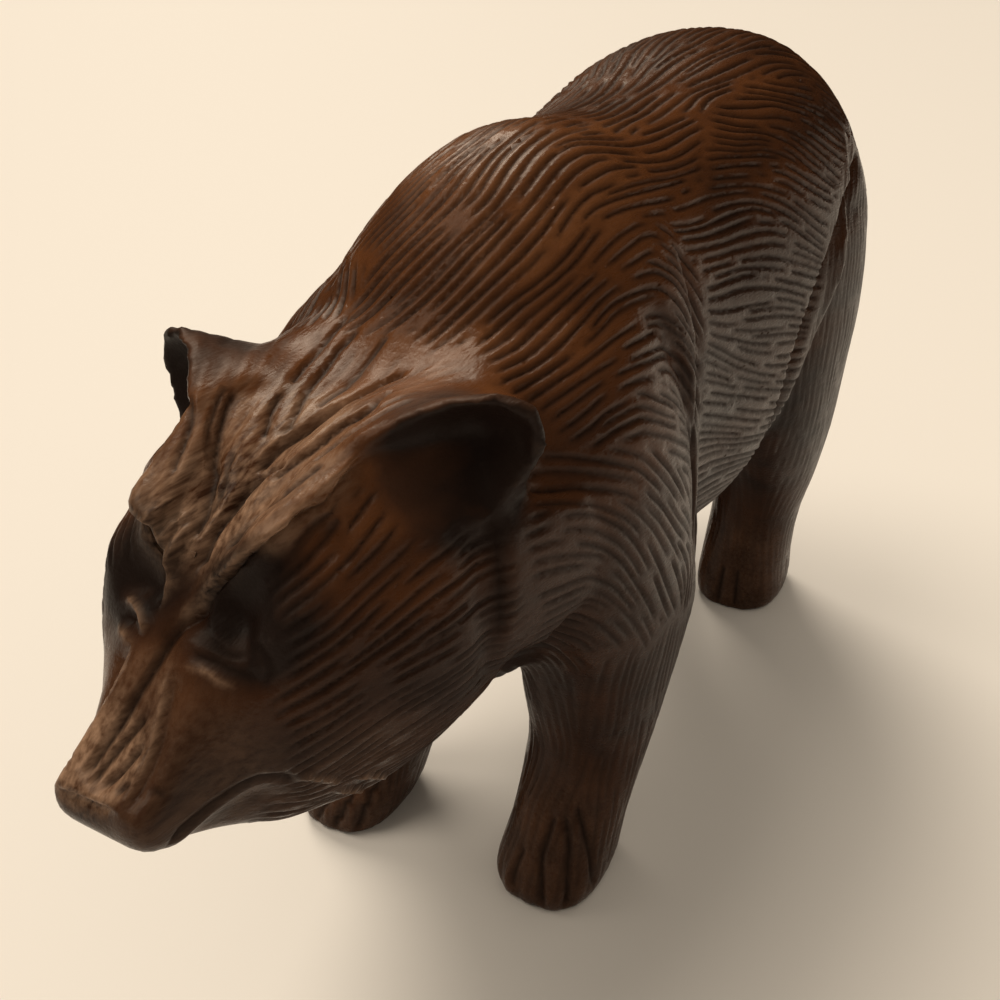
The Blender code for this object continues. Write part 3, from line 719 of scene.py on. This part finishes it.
class Strokes:
    """The gouge strokes of the fur, laid side by side over the skin."""

    def __init__(self, bear):
        points, normals = get_points(bear), get_normals(bear)
        faces = faces_of(bear)
        flow, coat = fur_field(points, normals)
        bare = touched(points, SMOOTH_SPOTS)
        corner = faces[:, 0]
        self.flow = [Vector(way) for way in flow[corner]]
        self.normal = [Vector(way) for way in unit(normals[faces].sum(1))]
        self.coat = coat[corner].tolist()
        self.bare = bare[corner].tolist()
        self.middle = points[faces].mean(1)
        self.tree = tree_of(bear, points)
        self.cell = max(pitch for _, _, pitch, *_ in COATS)
        self.taken = {}
        self.lines = []
        self.chance = random.Random(SEED)

    def cell_of(self, point):
        return tuple(int(value // self.cell) for value in point)

    def is_free(self, point, apart):
        """Whether no stroke is nearer to the point than that."""
        x, y, z = self.cell_of(point)
        limit = apart * apart
        for i in (x - 1, x, x + 1):
            for j in (y - 1, y, y + 1):
                for k in (z - 1, z, z + 1):
                    for other in self.taken.get((i, j, k), ()):
                        if (other - point).length_squared < limit:
                            return False
        return True

    def follow(self, point, face, sign, length, apart, coat):
        """Points from the first one along the fur, with the faces they are on."""
        made = []
        gone = 0
        while gone < length:
            point, _, face, _ = self.tree.find_nearest(point + self.flow[face] * (sign * STRIDE))
            if self.coat[face] != coat or self.bare[face] > BARE or point.z < LOWEST:
                break
            if not self.is_free(point, apart):
                break
            made.append((point, face))
            gone += STRIDE
        return made

    def try_stroke(self, point, face):
        """Lays a stroke through the point where there is room for it."""
        coat = self.coat[face]
        _, _, pitch, depth, shortest, longest, _ = COATS[coat]
        if self.bare[face] > BARE or not self.is_free(point, ROOM * pitch):
            return None
        length = self.chance.uniform(*LENGTHS) * longest
        ahead = self.chance.uniform(*AHEAD) * length
        near = CROWDING * pitch
        after = self.follow(point, face, 1, ahead, near, coat)
        before = self.follow(point, face, -1, length - ahead, near, coat)
        line = before[::-1] + [(point, face)] + after
        if len(line) * STRIDE < STUB * shortest:
            return None
        for spot, _ in line:
            self.taken.setdefault(self.cell_of(spot), []).append(spot)
        self.lines.append((line, pitch, depth * self.chance.uniform(*DEPTHS)))
        return line, pitch

    def spread(self, point, face):
        """Lays strokes side by side from a first one until there is no more room."""
        first = self.try_stroke(point, face)
        waiting = [first] if first else []
        while waiting:
            line, pitch = waiting.pop(0)
            for spot, under in line[:: max(1, int(pitch))]:
                across = self.flow[under].cross(self.normal[under]) * pitch
                for side in (across, -across):
                    start, _, there, _ = self.tree.find_nearest(spot + side)
                    made = self.try_stroke(start, there)
                    if made:
                        waiting.append(made)

    def lay(self):
        """Covers the whole skin."""
        order = list(range(0, len(self.middle), START_EVERY))
        self.chance.shuffle(order)
        for face in order:
            self.spread(Vector(self.middle[face]), face)

    def samples(self):
        """Points of all strokes: place, stroke number, half pitch, and depth, less at the ends."""
        places, numbers, halves, depths = [], [], [], []
        for number, (line, pitch, depth) in enumerate(self.lines):
            count = len(line)
            for index, (spot, face) in enumerate(line):
                to_end = (min(index, count - 1 - index) + 0.5) * STRIDE
                places.append(spot)
                numbers.append(number)
                halves.append(pitch / 2)
                depths.append(depth * min(1, to_end / TAPER) * (1 - self.bare[face]))
        return np.array(places), np.array(numbers), np.array(halves), np.array(depths)


def nearest_stroke(points, strokes):
    """For every point: how far it is from the nearest stroke's line as a share of the half pitch, and
    the stroke's depth there."""
    places, numbers, halves, depths = strokes
    tree = KDTree(len(places))
    for index, place in enumerate(places):
        tree.insert(place, index)
    tree.balance()
    nearest = np.array([tree.find(point)[1] for point in points])
    best = np.linalg.norm(points - places[nearest], axis=1)
    for step in (-1, 1):
        other = np.clip(nearest + step, 0, len(places) - 1)
        other = np.where(numbers[other] == numbers[nearest], other, nearest)
        along = places[other] - places[nearest]
        reach = points - places[nearest]
        share = (reach * along).sum(1) / np.maximum((along * along).sum(1), TINY)
        gap = reach - along * np.clip(share, 0, 1)[:, None]
        best = np.minimum(best, np.linalg.norm(gap, axis=1))
    return best / halves[nearest], depths[nearest]


def cut_fur(points, normals, strokes):
    """Sinks the strokes into the wood and returns how deep in a stroke every point is, from 0 to 1, for
    painted shade.
    """
    apart, depth = nearest_stroke(points, strokes)
    inside = np.clip(1 - apart, 0, 1) ** HOLLOW
    points -= normals * (SINK * depth * (inside - RAISED))[:, None]
    return inside * np.clip(depth / SHADED_DEPTH, 0, 1)


def leave(bear, name, values):
    """Leaves a value at every point of the mesh, for the finish."""
    bear.data.attributes.new(name, "FLOAT", "POINT").data.foreach_set("value", values.astype(np.float32))


def wear(bear, height, passes):
    """How far every point stands above the wood round it, from 0 to 1 at that height."""
    points, normals = get_points(bear), get_normals(bear)
    edges = read(bear.data.edges, "vertices", 2, np.int32)
    raised = ((points - even_out(points, edges, passes, LEVEL)) * normals).sum(1)
    return np.clip(raised / height, 0, 1)


def thin_out(bear):
    """Takes triangles out of the flat stretches of the bear."""
    thin = bear.modifiers.new("thin", "DECIMATE")
    thin.ratio = TRIANGLES / (2 * len(bear.data.polygons))
    apply_modifiers(bear)


def carved_bear():
    """The bear with its forms, fur and fine lines cut, thinned out, and without a finish yet."""
    bear = even_skin()
    carve_lines(bear, FORMS, get_normals(bear))
    strokes = Strokes(bear)
    strokes.lay()
    finer(bear)
    points, normals = get_points(bear), get_normals(bear)
    sunk = cut_fur(points, normals, strokes.samples())
    set_points(bear, points)
    # Painted shade of the sunk cuts, and wear and painted highlight of raised lines and ledge crests.
    cut, rubbed = carve_lines(bear, MARKS, normals)
    points = get_points(bear)
    points[:, 2] = np.maximum(points[:, 2], 0)
    set_points(bear, points)
    # Depth in grooves and cuts, where shade is painted.
    leave(bear, "sunk", np.maximum(sunk, cut))
    # Painted light on the wood that faces up.
    leave(bear, "faded", np.clip(normals[:, 2], 0, 1))
    # Wear, and painted sheen and highlights, on crests, raised lines, ledge edges and spots.
    worn = np.maximum(rubbed, touched(points, WEAR_AND_SHEEN_SPOTS))
    leave(bear, "worn", np.maximum(RUB_AND_SHEEN * wear(bear, RUB_HEIGHT, RUB_PASSES), worn))
    # Painted shade in hollows, under the jaw and the chest, and on the outer thigh.
    leave(bear, "dark", touched(points, SHADE_SPOTS))
    leave(bear, "warm", touched(points, WARM_SPOTS))
    thin_out(bear)
    for face in bear.data.polygons:
        face.use_smooth = True
    bear.data.materials.clear()
    return bear


class Wire:
    """A number that runs through nodes. Arithmetic with it adds Math nodes."""

    def __init__(self, nodes, socket):
        self.nodes, self.socket = nodes, socket

    def math(self, operation, first, second):
        return self.nodes.add("Math", {"operation": operation}, {0: first, 1: second})

    def __add__(self, other):
        return self.math("ADD", self, other)

    def __radd__(self, other):
        return self.math("ADD", other, self)

    def __sub__(self, other):
        return self.math("SUBTRACT", self, other)

    def __rsub__(self, other):
        return self.math("SUBTRACT", other, self)

    def __mul__(self, other):
        return self.math("MULTIPLY", self, other)

    def __rmul__(self, other):
        return self.math("MULTIPLY", other, self)


class Nodes:
    """The nodes of a material or of the light of the room."""

    def __init__(self, owner):
        owner.use_nodes = True
        self.tree = owner.node_tree

    def fill(self, made, sockets):
        """Sets or links the named sockets of a node."""
        for name, value in sockets.items():
            if isinstance(value, Wire):
                self.tree.links.new(value.socket, made.inputs[name])
            else:
                made.inputs[name].default_value = value

    def add(self, kind, settings, sockets, output=0):
        """A node with its settings made, then its sockets filled, and the output that is named."""
        made = self.tree.nodes.new("ShaderNode" + kind)
        for name, value in settings.items():
            if name == "stops":
                for extra in range(len(value) - 2):
                    made.color_ramp.elements.new(0.5)
                for stop, (place, colour) in zip(made.color_ramp.elements, value):
                    stop.position, stop.color = place, (*colour, 1)
            else:
                setattr(made, name, value)
        self.fill(made, sockets)
        return Wire(self, made.outputs[output])

    def worked(self, name):
        """What the carving left on the mesh under that name."""
        return self.add("Attribute", {"attribute_name": name}, {}, "Fac")

    def clamp(self, value):
        return self.add("Clamp", {}, {"Value": value})

    def noise(self, place, scale, detail):
        """A soft cloudy pattern about 0.5."""
        return self.add("TexNoise", {}, {"Vector": place, "Scale": scale, "Detail": detail})

    def stretched(self, place, sizes):
        """The place, scaled so that a pattern on it is as large as the sizes along each axis."""
        steps = [1 / size for size in sizes]
        return self.add("VectorMath", {"operation": "MULTIPLY"}, {0: place, 1: steps})

    def blend(self, share, first, second):
        """A colour between two, by the share."""
        sockets = {0: share, MIX_FIRST: first, MIX_SECOND: second}
        return self.add("Mix", {"data_type": "RGBA"}, sockets, MIX_COLOUR)


def wood():
    """Dark stained hardwood, with painted light on top, painted shade in hollows and grooves, and a paler
    brown of wear and painted sheen.
    """
    made = bpy.data.materials.new("dark stained wood")
    nodes = Nodes(made)
    place = nodes.add("TexCoord", {}, {}, "Object")
    sunk, worn, dark, warm, faded = (
        nodes.worked(name) for name in ("sunk", "worn", "dark", "warm", "faded")
    )
    grain = nodes.noise(nodes.stretched(place, GRAIN), 1.0, 4.0)
    figure = nodes.noise(nodes.stretched(place, FIGURE), 1.0, 2.0)
    pores = nodes.noise(nodes.stretched(place, PORES), 1.0, 2.0)
    streaks = nodes.noise(nodes.stretched(place, STREAKS), 1.0, 3.0)
    specks = nodes.noise(place, SPECKS, 2.0)
    # Painted light lifts the tone where the wood faces up, and painted shade lowers it in its spots, less
    # where the wood faces up.
    tone = (
        TONE + WARM_TONE * warm + TOP_TONE * faded
        - SHADE_TONE * dark * (1 - TOP_LOSS * faded)
        + GRAIN_TONE * (grain - 0.5) + FIGURE_TONE * (figure - 0.5)
    )
    stain = nodes.add("ValToRGB", {"stops": STAIN}, {"Fac": tone})
    # Painted shade at the bottom of grooves and cuts.
    stain = nodes.blend(GROOVE_SHARE * sunk, stain, GROOVE_SHADE)
    # Where the pale colour of wear and painted sheen shows.
    rubbed = nodes.clamp(WEAR_SHEEN_SHARE + WEAR_SHEEN_STREAKS * (streaks - 0.5) + WEAR_SHEEN_FIGURE * (figure - 0.5))
    share = worn * worn * rubbed * (1 - WEAR_SHEEN_LOSS * sunk)
    rough = ROUGHNESS + GROOVE_ROUGH * sunk + DARK_ROUGH * dark + PORES_ROUGH * (pores - 0.5)
    bump = {"Strength": BUMP, "Distance": BUMP_HEIGHT, "Height": pores * 0.5 + specks * 0.5}
    nodes.fill(
        nodes.tree.nodes["Principled BSDF"],
        {
            "Specular IOR Level": GLOSS,
            "Base Color": nodes.blend(share, stain, WEAR_AND_SHEEN_COLOUR),
            "Roughness": rough - WORN_SMOOTH * worn,
            "Normal": nodes.add("Bump", {}, bump),
        },
    )
    return made


def floor():
    """A plain pale floor."""
    corners = [(-FLOOR, -FLOOR, 0), (FLOOR, -FLOOR, 0), (FLOOR, FLOOR, 0), (-FLOOR, FLOOR, 0)]
    data = bpy.data.meshes.new("floor")
    data.from_pydata(corners, [], [(0, 1, 2, 3)])
    finish = bpy.data.materials.new("pale floor")
    nodes = Nodes(finish)
    nodes.fill(nodes.tree.nodes["Principled BSDF"], {"Base Color": FLOOR_COLOUR, "Roughness": 0.7})
    data.materials.append(finish)
    linked("floor", data)


def aim(made, direction):
    """Turns a camera or lamp so that it looks in that direction."""
    made.rotation_mode = "QUATERNION"
    made.rotation_quaternion = Vector(direction).to_track_quat("-Z", "Y")


def camera():
    """The camera where the photo was taken from."""
    data = bpy.data.cameras.new("camera")
    made = linked("camera", data)
    turn, down = radians(CAMERA_TURN), radians(CAMERA_DOWN)
    data.sensor_width, data.lens = FILM, LENS
    data.clip_start, data.clip_end = NEAREST, FARTHEST
    made.location = CAMERA
    aim(made, (-sin(turn) * cos(down), cos(turn) * cos(down), -sin(down)))
    bpy.context.scene.camera = made


def soft_light(name, direction, spread, strength):
    """Light from far off, coming from that direction, with shadows as soft as its spread."""
    data = bpy.data.lights.new(name, "SUN")
    data.angle, data.energy, data.color = radians(spread), strength, WARM_LIGHT
    aim(linked(name, data), -Vector(direction))


def lights():
    """Two soft lights, and light from all round that is brightest from above. The light from all round
    isn't seen in the gloss of the wood."""
    for name, direction, spread, strength in LIGHTS:
        soft_light(name, direction, spread, strength)
    world = bpy.data.worlds.new("room")
    nodes = Nodes(world)
    way = nodes.add("TexCoord", {}, {}, "Generated")
    up = nodes.add("SeparateXYZ", {}, {0: way}, "Z")
    strength = SIDE_LIGHT + TOP_LIGHT * nodes.clamp(up)
    nodes.fill(nodes.tree.nodes["Background"], {"Color": (*WARM_LIGHT, 1), "Strength": strength})
    bpy.context.scene.world = world
    world.cycles_visibility.glossy = False
    bpy.context.scene.view_settings.view_transform = "Standard"


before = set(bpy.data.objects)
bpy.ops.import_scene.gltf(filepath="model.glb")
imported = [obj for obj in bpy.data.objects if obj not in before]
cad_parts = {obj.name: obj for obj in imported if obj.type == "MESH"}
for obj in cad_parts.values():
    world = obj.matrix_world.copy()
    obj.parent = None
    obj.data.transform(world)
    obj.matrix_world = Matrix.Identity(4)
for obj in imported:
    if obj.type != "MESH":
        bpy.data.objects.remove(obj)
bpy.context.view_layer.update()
bear = carved_bear()
bear.data.materials.append(wood())
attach(bear, "root")
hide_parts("bear")
floor()
lights()
camera()
